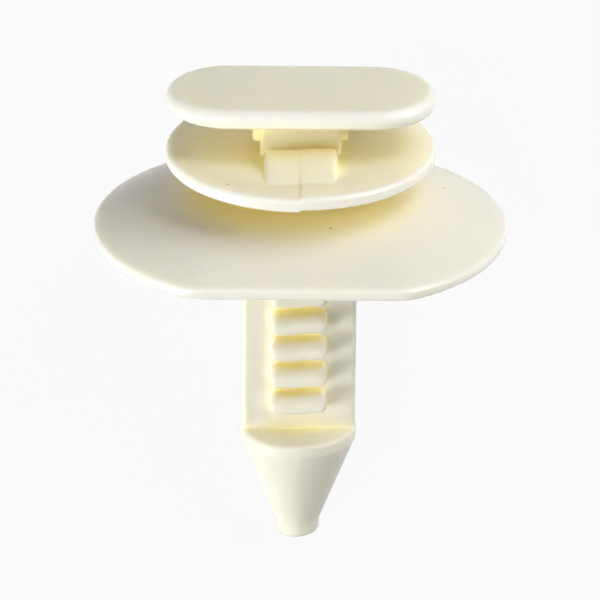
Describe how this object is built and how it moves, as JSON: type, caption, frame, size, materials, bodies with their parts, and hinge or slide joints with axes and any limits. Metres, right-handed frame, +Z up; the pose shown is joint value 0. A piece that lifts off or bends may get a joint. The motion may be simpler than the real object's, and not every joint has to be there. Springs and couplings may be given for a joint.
{
  "type": "trim panel retainer",
  "caption": "One-piece nylon retainer: a round-ended head, a slotted neck and a disc hold the trim panel, a domed flange seals, and a barbed shank grips the body panel's hole.",
  "frame": {"origin": "on the surface it lies on, under the middle of its bounding box", "axes": "+Z up as it lies on its flange's back flat and its tip, with the barbed front and the snap ramp upwards; +Y towards the head; +X to the right as the ramp is faced with the head up"},
  "size_m": [0.0272, 0.0316, 0.0203],
  "materials": {
    "nylon": "natural unpigmented nylon, satin to glossy, slightly translucent"
  },
  "bodies": {
    "root": {"retainer": "nylon"}
  },
  "joints": []
}
